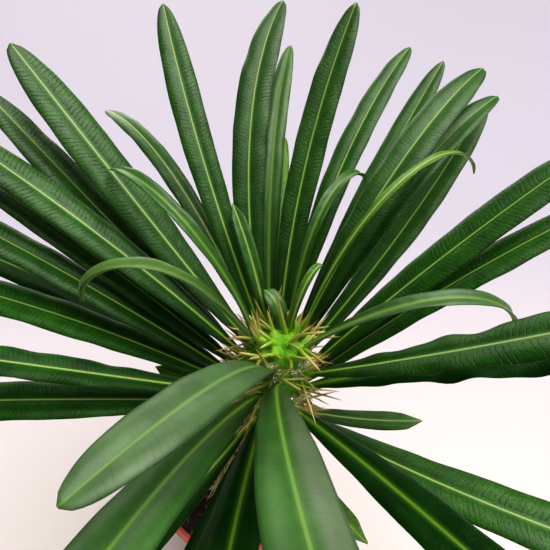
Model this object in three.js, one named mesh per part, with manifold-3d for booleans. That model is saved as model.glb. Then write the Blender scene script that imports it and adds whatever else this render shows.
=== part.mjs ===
// Madagascar palm (Pachypodium lamerei) growing in a round plastic pot.
// Millimetres, +Z up. The origin is the centre of the pot's underside.
import * as THREE from 'three';
import { mergeVertices } from 'three/addons/utils/BufferGeometryUtils.js';
import Module from 'manifold-3d';

const wasm = await Module();
wasm.setup();

// Clearance kept between pieces that touch.
const GAP = 0.3;

// Pot
const POT_HEIGHT = 134;
const POT_RIM_RADIUS = 78;
const POT_FOOT_RADIUS = 55;
const POT_WALL = 2.4;
const POT_FLOOR = 3;
const RIM_BAND_HEIGHT = 14;
const RIM_BAND_STEP = 3;
const RIM_LIP = 3.4;
const POT_SIDES = 40;
const DRAIN_RADIUS = 5;
const DRAIN_CIRCLE = 37;
const DRAIN_COUNT = 4;

// Soil
const SOIL_TOP = 123;
const SOIL_MOUND = 3;
const SOIL_SURFACE = SOIL_TOP + SOIL_MOUND;

// Stem. It leans out of the pot and straightens on its way up, by a share
// of the lean that is lost to the bend: little sideways, all of it forwards.
const STEM_TOP = 382;
const STEM_LEAN = [44, -27];
const STEM_BEND = [0.21, 1];
const CROWN_RADIUS = 11.5;
const COLLAR_RADIUS = 21;
const DOME_HEIGHT = 8;
const ROOT_DEPTH = 45;
const ROOT_TIP_RADIUS = 7;
const STEM_SIDES = 14;
const STEM_RINGS = 9;

// Tubercles, the warts that carry the leaves and the spines
const SEAT_YOUNG = 3;
const SEAT_OLD = 5;
const TUBERCLE_ROOT = 4.6;
const TUBERCLE_TIP = 2.3;
const TUBERCLE_SUNK = 3.5;
const TUBERCLE_SIDES = 5;
const OLD_TUBERCLES = 38;
const OLD_TOP = 312;
const OLD_BOTTOM = 143;
const OLD_TIP_SHARE = 0.8;
const GOLDEN_ANGLE = 137.508;

// Spines
const SPINE_RADIUS = 1.1;
const SPINE_SHORT = 20;
const SPINE_LONG = 31;
const SPINE_SPREADS = [-46, 46, 0];
const SPINE_TILTS = [0, -12, 12, -24, 24, -36, 36];
const SPINE_SHIFTS = [0, 14, -14, 28, -28];
const SPINE_CUTS = [1, 0.75];
const SPINE_SIDES = 3;
const SPINE_POINT = 0.2;
const SPINE_SUNK = 1.5;
const SPINE_SEAT = { inward: 2.6, down: 1.6 };
const SPINE_CLEARANCE = { beside: 1.7, over: 1.8, under: 3.8 };
const SEED = 7;

// Leaves
const BLADE_THICKNESS = 0.8;
const RIB_THICKNESS = 1.5;
const PETIOLE_SHARE = 0.15;
const WIDEST = 0.62;
const DROOP_POWER = 1.3;
const FOLDED_DROOP_POWER = 2;
const CHANNEL_RISE = 0.28;
const CHANNEL_FALL = 0.33;
const STATIONS_LONG = [0, 0.06, 0.16, 0.32, 0.5, 0.66, 0.82, 0.94, 1];
const STATIONS_SHORT = [0, 0.1, 0.28, 0.5, 0.72, 0.9, 1];
const SHORT_LEAF = 110;
const ACROSS = [-1, -0.5, 0, 0.5, 1];

// One row a leaf, roughly from the youngest at the tip of the stem down:
// turn round the stem, depth of its base below the tip, rise and droop of
// its midrib, length, width, sway of its turn along the way, and fold of
// its halves. Angles in degrees.
const LEAVES = [
  [88, 1, 70, 74, 27, 10, 56, 0.1],
  [54, 1, 70, 120, 50, 5, 0, 0.8],
  [355, 3, 46, 128, 143, 10, 14, 0.3],
  [171, 4, 61, 150, 120, 7, 24, 0.8],
  [162, 4, 75, 106, 140, 8, -28, 0.3],
  [37, 5, 68, 130, 178, 5, -3, 0.3],
  [70, 6, 66, 121, 125, 7, -23, 0.5],
  [113, 7, 60, 34, 76, 9, 2, 0.3],
  [255, 9, 69, 68, 140, 20, -26, 0],
  [122, 12, 49, 10, 199, 18, -16, 0],
  [268, 14, 50, 43, 186, 24, 21, 0],
  [147, 18, 46, 5, 201, 24, -5, 0],
  [328, 18, 47, 4, 201, 20, 16, 0],
  [44, 20, 61, 59, 211, 21, 5, 0],
  [122, 22, 45, 58, 225, 14, 8, 0],
  [83, 22, 54, 9, 198, 19, -25, 0],
  [161, 23, 46, 23, 204, 21, -4, 0],
  [245, 27, 47, 42, 203, 22, 5, 0],
  [108, 29, 59, 38, 228, 21, -40, 0],
  [44, 27, 49, 45, 208, 18, -3, 0.2],
  [71, 30, 45, 26, 226, 18, -18, 0],
  [153, 31, 43, 7, 205, 20, -7, 0],
  [94, 34, 56, 40, 212, 14, -16, 0],
  [39, 40, 30, -4, 214, 21, 13, 0],
  [161, 38, 42, 14, 200, 19, -3, 0],
  [56, 40, 42, 10, 218, 17, -4, 0],
  [260, 40, 31, 28, 205, 24, 7, 0],
  [307, 43, 29, 6, 206, 21, -6, 0],
  [350, 43, 36, 17, 205, 24, -3, 0],
  [16, 44, 50, 16, 203, 22, 2, 0],
  [248, 71, -4, -4, 200, 19, 2, 0],
  [168, 46, 42, 20, 205, 19, -4, 0],
  [89, 47, 32, 32, 202, 16, -4, 0],
  [192, 49, 32, 17, 205, 17, -12, 0],
  [9, 53, 50, 27, 205, 19, 5, 0],
  [318, 54, 20, 14, 205, 23, 23, 0],
  [171, 54, 33, 17, 205, 22, 6, 0],
  [193, 59, 24, 21, 200, 23, -8, 0],
  [158, 63, 29, 12, 202, 22, 10, 0],
  [292, 63, 11, 10, 80, 12, 24, 0],
  [243, 59, 26, 0, 180, 16, -9, 0],
  [169, 71, 22, -2, 56, 12, 0, 0],
  [348, 72, -2, -4, 83, 13, 13, 0],
];

const rad = THREE.MathUtils.degToRad;

// A small repeatable random number source.
function makeRandom(seed) {
  let state = seed;
  return () => {
    state = (state * 16807) % 2147483647;
    return state / 2147483647;
  };
}

// ---- conversions between three.js meshes and solids ----

function toSolid(geometry) {
  const bare = geometry.clone();
  bare.deleteAttribute('normal');
  bare.deleteAttribute('uv');
  const merged = mergeVertices(bare, 1e-4);
  const mesh = new wasm.Mesh({
    numProp: 3,
    vertProperties: new Float32Array(merged.attributes.position.array),
    triVerts: new Uint32Array(merged.index.array),
  });
  return new wasm.Manifold(mesh);
}

function toGeometry(solid) {
  const mesh = solid.getMesh();
  const geometry = new THREE.BufferGeometry();
  geometry.setAttribute('position', new THREE.BufferAttribute(mesh.vertProperties, 3));
  geometry.setIndex(new THREE.BufferAttribute(mesh.triVerts, 1));
  geometry.computeVertexNormals();
  return geometry;
}

// The body with the most volume, without loose scraps or sealed hollows.
function largest(solid) {
  return solid.decompose().sort((a, b) => b.volume() - a.volume())[0];
}

function fromFaces(points, faces) {
  const geometry = new THREE.BufferGeometry();
  const flat = points.flatMap((p) => [p.x, p.y, p.z]);
  geometry.setAttribute('position', new THREE.Float32BufferAttribute(flat, 3));
  geometry.setIndex(faces);
  geometry.computeVertexNormals();
  return geometry;
}

// A closed tube through rings of equal point count, with flat ends. The
// rings run anticlockwise when seen from the far end.
function loft(rings) {
  const count = rings[0].length;
  const last = (rings.length - 1) * count;
  const faces = [];
  for (let i = 0; i < rings.length - 1; i += 1) {
    for (let j = 0; j < count; j += 1) {
      const a = i * count + j;
      const b = i * count + ((j + 1) % count);
      faces.push(a, b, b + count, a, b + count, a + count);
    }
  }
  for (let j = 1; j < count - 1; j += 1) {
    faces.push(0, j + 1, j);
    faces.push(last, last + j, last + j + 1);
  }
  return fromFaces(rings.flat(), faces);
}

// A ring of points square to a direction.
function ringAcross(centre, direction, radius, sides) {
  const up = Math.abs(direction.z) > 0.9 ? new THREE.Vector3(1, 0, 0) : new THREE.Vector3(0, 0, 1);
  const side = new THREE.Vector3().crossVectors(up, direction).normalize();
  const other = new THREE.Vector3().crossVectors(direction, side);
  return Array.from({ length: sides }, (_, k) => {
    const angle = (2 * Math.PI * k) / sides;
    return centre.clone()
      .addScaledVector(side, radius * Math.cos(angle))
      .addScaledVector(other, radius * Math.sin(angle));
  });
}

// ---- stem form ----

// Share of the way down from the tip of the stem to the soil.
function wayDown(z) {
  return Math.min(1, (STEM_TOP - z) / (STEM_TOP - SOIL_SURFACE));
}

function stemAxis(z) {
  const down = wayDown(z);
  const [x, y] = STEM_LEAN.map((lean, k) => {
    const bend = STEM_BEND[k];
    return lean * (1 - (1 - bend) * down - bend * down ** 2);
  });
  return new THREE.Vector3(x, y, z);
}

function stemRadius(z) {
  const side = COLLAR_RADIUS - (COLLAR_RADIUS - CROWN_RADIUS) * (1 - wayDown(z)) ** 2;
  const intoDome = Math.max(0, z - (STEM_TOP - DOME_HEIGHT)) / DOME_HEIGHT;
  return side * Math.sqrt(Math.max(0, 1 - intoDome ** 2));
}

// Radius of the thick root below the soil's edge.
function rootRadius(z) {
  const buried = (SOIL_TOP - z) / ROOT_DEPTH;
  return COLLAR_RADIUS + (ROOT_TIP_RADIUS - COLLAR_RADIUS) * buried ** 1.5;
}

function heading(turn, rise) {
  const a = rad(turn);
  const e = rad(rise);
  return new THREE.Vector3(Math.cos(e) * Math.cos(a), Math.cos(e) * Math.sin(a), Math.sin(e));
}

// Where a leaf's petiole starts: the end of its tubercle.
function leafBase(turn, depth) {
  const z = STEM_TOP - depth;
  const seat = SEAT_YOUNG + (SEAT_OLD - SEAT_YOUNG) * Math.min(1, depth / 20);
  return stemAxis(z).addScaledVector(heading(turn, 0), stemRadius(z) + seat);
}

// ---- leaves ----

// Half the blade's width at a share of its length.
function halfWidth(u, width) {
  const opening = Math.min(1, u / 0.12) ** 0.6;
  const swell = (1 - (1 - Math.min(1, u / WIDEST)) ** 1.9) * opening;
  const end = Math.max(0, (u - WIDEST) / (1 - WIDEST));
  const tip = Math.sqrt(Math.max(0, 1 - end ** 3));
  return Math.max(0.6, (width / 2) * (PETIOLE_SHARE + (1 - PETIOLE_SHARE) * swell) * tip);
}

// The midrib's direction at a share of the leaf's length. A folded young
// leaf keeps straight for longer and bends near its tip.
function leafHeading(leaf, u) {
  const [turn, , rise, droop, , , sway, fold] = leaf;
  const power = DROOP_POWER + FOLDED_DROOP_POWER * fold;
  return heading(turn + sway * u, rise - droop * u ** power);
}

// Midrib points and directions at shares of the leaf's length.
function midrib(leaf, shares) {
  const [turn, depth, , , length, , sway] = leaf;
  const steps = 60;
  const at = leafBase(turn, depth);
  const path = [];
  let next = 0;
  for (let i = 0; i <= steps; i += 1) {
    const u = i / steps;
    while (next < shares.length && shares[next] <= u + 1e-9) {
      const along = leafHeading(leaf, u);
      const side = heading(turn + sway * u + 90, 0);
      const up = new THREE.Vector3().crossVectors(along, side);
      path.push({ u: shares[next], at: at.clone(), along, side, up });
      next += 1;
    }
    at.addScaledVector(leafHeading(leaf, (i + 0.5) / steps), length / steps);
  }
  return path;
}

// Height of the blade over its midrib, for a share of half its width.
function channel(v, half, fold) {
  const w = Math.abs(v);
  return half * ((CHANNEL_RISE + fold) * w - CHANNEL_FALL * w ** 3);
}

function makeLeaf(leaf) {
  const [, , , , length, width, , fold] = leaf;
  const shares = length < SHORT_LEAF ? STATIONS_SHORT : STATIONS_LONG;
  const path = midrib(leaf, shares);
  const upper = [];
  const lower = [];
  path.forEach(({ u, at, side, up }) => {
    const half = halfWidth(u, width);
    const rib = RIB_THICKNESS * (1 - u) ** 1.5;
    ACROSS.forEach((v) => {
      const lift = channel(v, half, fold);
      const thick = BLADE_THICKNESS + rib * (1 - Math.abs(v)) ** 2;
      upper.push(at.clone().addScaledVector(side, v * half).addScaledVector(up, lift));
      lower.push(at.clone().addScaledVector(side, v * half).addScaledVector(up, lift - thick));
    });
  });
  const columns = ACROSS.length;
  const below = upper.length;
  const faces = [];
  const quad = (a, b, c, d) => faces.push(a, b, c, a, c, d);
  for (let i = 0; i < path.length - 1; i += 1) {
    const row = i * columns;
    for (let j = 0; j < columns - 1; j += 1) {
      const a = row + j;
      const b = row + columns + j;
      faces.push(a, b, b + 1, a, b + 1, a + 1);
      faces.push(below + a, below + b + 1, below + b, below + a, below + a + 1, below + b + 1);
    }
    const end = row + columns - 1;
    quad(row, below + row, below + row + columns, row + columns);
    quad(end, end + columns, below + end + columns, below + end);
  }
  const tip = (path.length - 1) * columns;
  for (let j = 0; j < columns - 1; j += 1) {
    quad(j, j + 1, below + j + 1, below + j);
    quad(tip + j, below + tip + j, below + tip + j + 1, tip + j + 1);
  }
  return fromFaces([...upper, ...lower], faces);
}

// ---- spines ----

// True where a straight spine would come too near a leaf.
function spineTouchesLeaf(root, direction, length, paths) {
  const { beside, over, under } = SPINE_CLEARANCE;
  return paths.some(({ leaf, path }) => {
    const [, , , , leafLength, width, , fold] = leaf;
    const reach = (leafLength / (path.length - 1)) * 0.75;
    return path.some(({ u, at, along, side, up }) => {
      const half = halfWidth(u, width);
      const top = half * (0.2 + fold) + over;
      for (let k = 1; k <= 8; k += 1) {
        const offset = root.clone().addScaledVector(direction, (length * k) / 8).sub(at);
        const level = offset.dot(up);
        const near = Math.abs(offset.dot(along)) < reach && Math.abs(offset.dot(side)) < half + beside;
        if (near && level > -under && level < top) return true;
      }
      return false;
    });
  });
}

// The first way past the leaves for a spine that would point along turn and
// rise, or nothing where there is none.
function clearWay(root, turn, rise, length, paths) {
  for (const cut of SPINE_CUTS) {
    for (const shift of SPINE_SHIFTS) {
      for (const tilt of SPINE_TILTS) {
        const direction = heading(turn + shift, rise + tilt);
        if (!spineTouchesLeaf(root, direction, length * cut, paths)) {
          return { root, direction, length: length * cut };
        }
      }
    }
  }
  return null;
}

// The spines of one tubercle: root, direction and length of each.
function spineTrio(root, turn, lean, random, paths) {
  return SPINE_SPREADS.map((spread) => {
    const full = SPINE_SHORT + (SPINE_LONG - SPINE_SHORT) * random();
    const aside = turn + spread + 16 * (random() - 0.5);
    const middle = spread === 0;
    const rise = lean + 14 * (random() - 0.5) - (middle ? 38 : 0);
    return clearWay(root, aside, rise, middle ? full * 0.6 : full, paths);
  }).filter((spine) => spine !== null);
}

function makeSpine({ root, direction, length }) {
  const base = root.clone().addScaledVector(direction, -SPINE_SUNK);
  const end = root.clone().addScaledVector(direction, length);
  return loft([
    ringAcross(base, direction, SPINE_RADIUS, SPINE_SIDES),
    ringAcross(end, direction, SPINE_POINT, SPINE_SIDES),
  ]);
}

// ---- stem ----

function makeTubercle(turn, depth, along, tipRadius) {
  const rootRadius = TUBERCLE_ROOT * (0.65 + 0.35 * Math.min(1, depth / 20));
  const z = STEM_TOP - depth;
  const reach = Math.max(0, stemRadius(z) - TUBERCLE_SUNK);
  const inward = stemAxis(z).addScaledVector(heading(turn, 0), reach);
  inward.z -= 2;
  const end = leafBase(turn, depth).addScaledVector(along, -GAP);
  const middle = inward.clone().lerp(end, 0.55);
  const outward = end.clone().sub(inward).normalize();
  return loft([
    ringAcross(inward, outward, rootRadius, TUBERCLE_SIDES),
    ringAcross(middle, outward, (rootRadius + tipRadius) / 2 + 0.2, TUBERCLE_SIDES),
    ringAcross(end, along, tipRadius, TUBERCLE_SIDES),
  ]);
}

function makeCore() {
  const shoulder = STEM_TOP - DOME_HEIGHT;
  const rising = Array.from(
    { length: STEM_RINGS },
    (_, k) => SOIL_SURFACE + ((shoulder - SOIL_SURFACE) * k) / (STEM_RINGS - 1),
  );
  const dome = [0.5, 0.8, 0.96].map((share) => shoulder + DOME_HEIGHT * share);
  const heights = [SOIL_TOP - ROOT_DEPTH, SOIL_TOP - ROOT_DEPTH / 2, SOIL_TOP, ...rising, ...dome];
  const rings = heights.map((z) => {
    const radius = z < SOIL_TOP ? rootRadius(z) : stemRadius(z);
    const centre = stemAxis(z);
    return Array.from({ length: STEM_SIDES }, (_, k) => {
      const angle = (2 * Math.PI * k) / STEM_SIDES;
      const arm = new THREE.Vector3(Math.cos(angle), Math.sin(angle), 0);
      return centre.clone().addScaledVector(arm, radius);
    });
  });
  return loft(rings);
}

function makeStem() {
  const random = makeRandom(SEED);
  const shares = Array.from({ length: 17 }, (_, k) => k / 16);
  const paths = LEAVES.map((leaf) => ({ leaf, path: midrib(leaf, shares) }));
  const pieces = [toSolid(makeCore())];
  const addGroup = (turn, depth, along, lean, tipRadius) => {
    pieces.push(toSolid(makeTubercle(turn, depth, along, tipRadius)));
    const root = leafBase(turn, depth).addScaledVector(heading(turn, 0), -SPINE_SEAT.inward);
    root.z -= SPINE_SEAT.down;
    const spines = spineTrio(root, turn, lean, random, paths);
    spines.forEach((spine) => pieces.push(toSolid(makeSpine(spine))));
  };
  LEAVES.forEach(([turn, depth, rise]) => {
    addGroup(turn, depth, heading(turn, rise), Math.min(rise, 60) - 26, TUBERCLE_TIP);
  });
  for (let k = 0; k < OLD_TUBERCLES; k += 1) {
    const z = OLD_TOP + ((OLD_BOTTOM - OLD_TOP) * k) / (OLD_TUBERCLES - 1);
    const turn = (k * GOLDEN_ANGLE + 20) % 360;
    addGroup(turn, STEM_TOP - z, heading(turn, 10), 0, TUBERCLE_TIP * OLD_TIP_SHARE);
  }
  return toGeometry(largest(wasm.Manifold.union(pieces)));
}

// ---- pot and soil ----

function lathe(points, sides) {
  const geometry = new THREE.LatheGeometry(points.map(([r, z]) => new THREE.Vector2(r, z)), sides);
  geometry.rotateX(Math.PI / 2);
  return geometry;
}

// Radius of the pot's inner wall at a height.
function potInner(z) {
  const flare = POT_RIM_RADIUS - RIM_BAND_STEP - POT_FOOT_RADIUS;
  return POT_FOOT_RADIUS + flare * (z / POT_HEIGHT) - POT_WALL;
}

function makePot() {
  const band = POT_HEIGHT - RIM_BAND_HEIGHT;
  const body = toSolid(lathe([
    [0, 0],
    [POT_FOOT_RADIUS - 2, 0],
    [POT_FOOT_RADIUS, 2],
    [potInner(band) + POT_WALL, band],
    [POT_RIM_RADIUS - 1, band],
    [POT_RIM_RADIUS, POT_HEIGHT - 1],
    [POT_RIM_RADIUS - 1, POT_HEIGHT],
    [POT_RIM_RADIUS - RIM_LIP, POT_HEIGHT],
    [potInner(band + 3), band + 3],
    [potInner(POT_FLOOR), POT_FLOOR],
    [0, POT_FLOOR],
  ], POT_SIDES));
  const drains = Array.from({ length: DRAIN_COUNT }, (_, k) => {
    const angle = (2 * Math.PI * (k + 0.5)) / DRAIN_COUNT;
    const drain = new THREE.CylinderGeometry(DRAIN_RADIUS, DRAIN_RADIUS, POT_FLOOR * 4, 12);
    drain.rotateX(Math.PI / 2);
    drain.translate(DRAIN_CIRCLE * Math.cos(angle), DRAIN_CIRCLE * Math.sin(angle), 0);
    return toSolid(drain);
  });
  return toGeometry(body.subtract(wasm.Manifold.union(drains)));
}

function makeSoil() {
  const floor = POT_FLOOR + GAP;
  const edge = SOIL_TOP - 2;
  const body = toSolid(lathe([
    [0, floor],
    [potInner(floor) - GAP, floor],
    [potInner(edge) - GAP, edge],
    [POT_RIM_RADIUS * 0.72, SOIL_TOP],
    [POT_RIM_RADIUS * 0.42, SOIL_SURFACE],
    [0, SOIL_SURFACE],
  ], POT_SIDES));
  const tip = SOIL_TOP - ROOT_DEPTH;
  const socket = toSolid(lathe([
    [0, tip - GAP],
    [rootRadius(tip) + 2 * GAP, tip - GAP],
    [rootRadius(tip + ROOT_DEPTH / 2) + 3 * GAP, tip + ROOT_DEPTH / 2],
    [COLLAR_RADIUS + 2 * GAP, SOIL_TOP],
    [COLLAR_RADIUS + 2 * GAP, POT_HEIGHT],
    [0, POT_HEIGHT],
  ], POT_SIDES));
  return toGeometry(body.subtract(socket));
}

// ---- assembly ----

function makeMesh(name, geometry, material) {
  const mesh = new THREE.Mesh(geometry, material);
  mesh.name = name;
  return mesh;
}

const plastic = new THREE.MeshStandardMaterial({ color: 0xd9675a, roughness: 0.45, metalness: 0 });
const earth = new THREE.MeshStandardMaterial({ color: 0x2a1b16, roughness: 0.95, metalness: 0 });
const bark = new THREE.MeshStandardMaterial({ color: 0x7fa23c, roughness: 0.6, metalness: 0 });
const foliage = new THREE.MeshStandardMaterial({ color: 0x2f6b2a, roughness: 0.4, metalness: 0 });

const group = new THREE.Group();
group.add(makeMesh('pot', makePot(), plastic));
group.add(makeMesh('soil', makeSoil(), earth));
group.add(makeMesh('stem', makeStem(), bark));
LEAVES.forEach((leaf, k) => {
  group.add(makeMesh(`leaf_${String(k + 1).padStart(2, '0')}`, makeLeaf(leaf), foliage));
});

export default group;
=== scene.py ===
"""A Madagascar palm in a round plastic pot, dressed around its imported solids.

Lengths in this file are millimetres until a mesh is made, and +Z is up from
the pot's underside. The leaf table and the stem's form repeat the part's own.
"""

import math

import bpy
import numpy as np
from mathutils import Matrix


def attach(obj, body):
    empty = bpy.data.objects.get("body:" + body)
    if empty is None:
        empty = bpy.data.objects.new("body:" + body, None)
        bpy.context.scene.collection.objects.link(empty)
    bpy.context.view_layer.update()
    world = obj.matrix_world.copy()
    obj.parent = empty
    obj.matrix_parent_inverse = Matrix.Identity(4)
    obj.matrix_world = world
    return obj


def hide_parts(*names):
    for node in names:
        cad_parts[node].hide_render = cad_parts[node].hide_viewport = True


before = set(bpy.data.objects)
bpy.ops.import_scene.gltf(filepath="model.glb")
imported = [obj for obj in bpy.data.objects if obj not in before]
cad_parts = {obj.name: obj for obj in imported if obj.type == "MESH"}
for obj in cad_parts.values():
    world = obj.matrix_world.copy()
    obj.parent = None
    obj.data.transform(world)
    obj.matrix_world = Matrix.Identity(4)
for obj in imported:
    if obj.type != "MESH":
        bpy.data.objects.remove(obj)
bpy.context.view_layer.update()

MM = 0.001

# Pot and soil
POT_HEIGHT = 134
POT_RIM_RADIUS = 78
POT_FOOT_RADIUS = 55
POT_WALL = 2.4
POT_FLOOR = 3
RIM_BAND_HEIGHT = 14
RIM_BAND_STEP = 3
RIM_LIP = 3.4
DRAIN_RADIUS = 5
DRAIN_CIRCLE = 37
DRAIN_COUNT = 4
SOIL_TOP = 123
SOIL_MOUND = 3
SOIL_SURFACE = SOIL_TOP + SOIL_MOUND
GAP = 0.3

# Stem
STEM_TOP = 382
STEM_LEAN = (44, -27)
STEM_BEND = (0.21, 1)
CROWN_RADIUS = 11.5
COLLAR_RADIUS = 21
DOME_HEIGHT = 8
ROOT_DEPTH = 45
ROOT_TIP_RADIUS = 7
SEAT_YOUNG = 3
SEAT_OLD = 5
TUBERCLE_ROOT = 4.6
TUBERCLE_TIP = 2.3
TUBERCLE_SUNK = 3.5
OLD_TUBERCLES = 38
OLD_TOP = 312
OLD_BOTTOM = 143
OLD_TIP_SHARE = 0.8
GOLDEN_ANGLE = 137.508
DOME_KNOBS = 11
KNOB_RADIUS = 4.0
KNOB_HEIGHT = 4.6
SKIN_VOXEL = 0.8
BARK_FROM = 52
BARK_FULL = 92

# Spines
SPINE_RADIUS = 1.1
SPINE_SHORT = 20
SPINE_LONG = 31
SPINE_SPREADS = (-46, 46, 0)
SPINE_TILTS = (0, -12, 12, -24, 24, -36, 36)
SPINE_SHIFTS = (0, 14, -14, 28, -28)
SPINE_CUTS = (1, 0.75)
SPINE_SIDES = 9
SPINE_SUNK = 1.5
SEAT_INWARD = 2.6
SEAT_DOWN = 1.6
MIDDLE_DROP = 38
MIDDLE_SHARE = 0.6
CLEAR_BESIDE = 1.7
CLEAR_OVER = 1.8
CLEAR_UNDER = 3.8
CLEARANCE_STEPS = 16

# Finer spines round each trio, and those of the growing tip
EXTRA_SPINES = 10
EXTRA_FROM = 6
EXTRA_SLACK = 0.5
EXTRA_SPREAD = 85
EXTRA_RISE = (-45, 30)
EXTRA_STOUT = 0.8
GREEN_STOUT = 1.25
TIP_SPREADS = ((-38, -6), (38, -6), (0, 14))
TIP_LENGTHS = (11, 19)
TIP_STOUT = 1.15

# Wool and dry flakes by the spines, and crumbs on the soil
WOOL_FROM = 6
WOOL_OUT = 4.2
WOOL_HAIRS = 34
OLD_WOOL_HAIRS = 12
SCRAPS_FROM = 34
SCRAP_CHANCE = 0.6
CRUMBS = 4200
CRUMBS_REACH = 69
SEED = 7

# Leaves
BLADE_THICKNESS = 0.55
RIB_THICKNESS = 1.6
PETIOLE_SHARE = 0.15
WIDEST = 0.62
DROOP_POWER = 1.3
FOLDED_DROOP_POWER = 2
CHANNEL_RISE = 0.28
CHANNEL_FALL = 0.33
SHORT_LEAF = 110
TAPER_FROM = 0.84

# One row a leaf, roughly from the youngest at the tip of the stem down:
# turn round the stem, depth of its base below the tip, rise and droop of
# its midrib, length, width, sway of its turn along the way, and fold of
# its halves. Angles in degrees. Most rows come from a search that fitted
# leaves to points in the photo, rounded and in part changed.
LEAVES = [
    (88, 1, 70, 74, 27, 10, 56, 0.1),
    (54, 1, 70, 120, 50, 5, 0, 0.8),
    (355, 3, 46, 128, 143, 10, 14, 0.3),
    (171, 4, 61, 150, 120, 7, 24, 0.8),
    (162, 4, 75, 106, 140, 8, -28, 0.3),
    (37, 5, 68, 130, 178, 5, -3, 0.3),
    (70, 6, 66, 121, 125, 7, -23, 0.5),
    (113, 7, 60, 34, 76, 9, 2, 0.3),
    (255, 9, 69, 68, 140, 20, -26, 0),
    (122, 12, 49, 10, 199, 18, -16, 0),
    (268, 14, 50, 43, 186, 24, 21, 0),
    (147, 18, 46, 5, 201, 24, -5, 0),
    (328, 18, 47, 4, 201, 20, 16, 0),
    (44, 20, 61, 59, 211, 21, 5, 0),
    (122, 22, 45, 58, 225, 14, 8, 0),
    (83, 22, 54, 9, 198, 19, -25, 0),
    (161, 23, 46, 23, 204, 21, -4, 0),
    (245, 27, 47, 42, 203, 22, 5, 0),
    (108, 29, 59, 38, 228, 21, -40, 0),
    (44, 27, 49, 45, 208, 18, -3, 0.2),
    (71, 30, 45, 26, 226, 18, -18, 0),
    (153, 31, 43, 7, 205, 20, -7, 0),
    (94, 34, 56, 40, 212, 14, -16, 0),
    (39, 40, 30, -4, 214, 21, 13, 0),
    (161, 38, 42, 14, 200, 19, -3, 0),
    (56, 40, 42, 10, 218, 17, -4, 0),
    (260, 40, 31, 28, 205, 24, 7, 0),
    (307, 43, 29, 6, 206, 21, -6, 0),
    (350, 43, 36, 17, 205, 24, -3, 0),
    (16, 44, 50, 16, 203, 22, 2, 0),
    (248, 71, -4, -4, 200, 19, 2, 0),
    (168, 46, 42, 20, 205, 19, -4, 0),
    (89, 47, 32, 32, 202, 16, -4, 0),
    (192, 49, 32, 17, 205, 17, -12, 0),
    (9, 53, 50, 27, 205, 19, 5, 0),
    (318, 54, 20, 14, 205, 23, 23, 0),
    (171, 54, 33, 17, 205, 22, 6, 0),
    (193, 59, 24, 21, 200, 23, -8, 0),
    (158, 63, 29, 12, 202, 22, 10, 0),
    (292, 63, 11, 10, 80, 12, 24, 0),
    (243, 59, 26, 0, 180, 16, -9, 0),
    (169, 71, 22, -2, 56, 12, 0, 0),
    (348, 72, -2, -4, 83, 13, 13, 0),
]

# Height of the waves in the margins: of most leaves, and of the wavier ones by
# their place in the table.
MARGIN_WAVE = 0.28
WAVED = {13: 1.1, 16: 0.5, 19: 0.6, 22: 0.5, 29: 1.6, 34: 0.7}

# Tones of single leaves, by their place in the table: 0 is black green, 0.5 deep
# green and 1 yellow green. The lowest tones are painted shade on the leaves low
# under the crown, and below 0 the midrib is painted dark too. The rest of the
# leaves draw theirs from a range.
TONE_RANGE = (0.26, 0.50)
TONES_AND_SHADE = {
    1: 0.56, 2: 0.75, 3: 0.56, 4: 0.95, 6: 0.88, 8: 0.55, 9: 0.40, 10: 0.48, 11: 0.56, 12: 0.50,
    14: 0.52, 16: 0.56, 18: 0.50, 20: 0.52, 23: 0.60, 24: 0.50, 26: 0.52, 27: 0.0, 28: 0.04, 29: 0.05,
    30: 0.42, 31: -0.2, 32: 0.34, 33: 0.80, 34: 0.20, 35: 0.50, 36: 0.56, 37: 0.44, 38: 0.26, 39: 0.14,
    40: 0.84, 41: 0.16, 42: 0.85, 43: 0.60,
}

# Shine of the leaves, and the lower shine of those in deep shade: a painted-shade copy of the leaf skin.
LEAF_SHINE = 0.42
DEEP_SHADE_SHINE = 0.16
DEEP_SHADE_LEAVES = {27, 28, 29, 31, 34, 37, 38, 39, 41}

# Painted sheen on single leaves, a milky grey standing in for reflected light: on the whole blade, and on its
# right half besides.
PAINTED_SHEEN = {
    1: 0.38, 2: 0.20, 3: 0.50, 4: 0.60, 5: 0.30, 6: 0.20, 7: 0.30, 8: 0.25, 9: 0.66, 10: 0.05,
    11: 0.27, 12: 0.11, 14: 0.10, 16: 0.12, 18: 0.27, 19: 0.12, 22: 0.10, 23: 0.35,
}
RIGHT_PAINTED_SHEEN = {11: 1.0}

# Painted sheen besides, at the tips of the leaves round the crown.
TIP_PAINTED_SHEEN = 0.11
TIP_PAINTED_SHEEN_LEAVES = range(10, 27)


# ---- directions and curves ----

def heading(turn, rise):
    """Unit vector for a turn round the stem and a rise, in degrees."""
    a, e = np.radians(turn), np.radians(rise)
    return np.stack([np.cos(e) * np.cos(a), np.cos(e) * np.sin(a), np.sin(e) + 0 * a], -1)


def smooth(low, high, value):
    """0 below low, 1 above high, and an even ease between them."""
    t = np.clip((value - low) / (high - low), 0, 1)
    return t * t * (3 - 2 * t)


def way_down(z):
    """Share of the way down from the tip of the stem to the soil."""
    return np.minimum(1, (STEM_TOP - z) / (STEM_TOP - SOIL_SURFACE))


def stem_axis(z):
    down = way_down(z)
    x, y = (lean * (1 - (1 - bend) * down - bend * down ** 2) for lean, bend in zip(STEM_LEAN, STEM_BEND))
    return np.stack([x, y, z + 0 * down], -1)


def stem_radius(z):
    side = COLLAR_RADIUS - (COLLAR_RADIUS - CROWN_RADIUS) * (1 - way_down(z)) ** 2
    into_dome = np.maximum(0, z - (STEM_TOP - DOME_HEIGHT)) / DOME_HEIGHT
    return side * np.sqrt(np.maximum(0, 1 - into_dome ** 2))


def leaf_base(turn, depth):
    """Where a petiole starts: the end of its tubercle."""
    z = STEM_TOP - depth
    seat = SEAT_YOUNG + (SEAT_OLD - SEAT_YOUNG) * min(1, depth / 20)
    return stem_axis(z) + heading(turn, 0) * (stem_radius(z) + seat)


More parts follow.
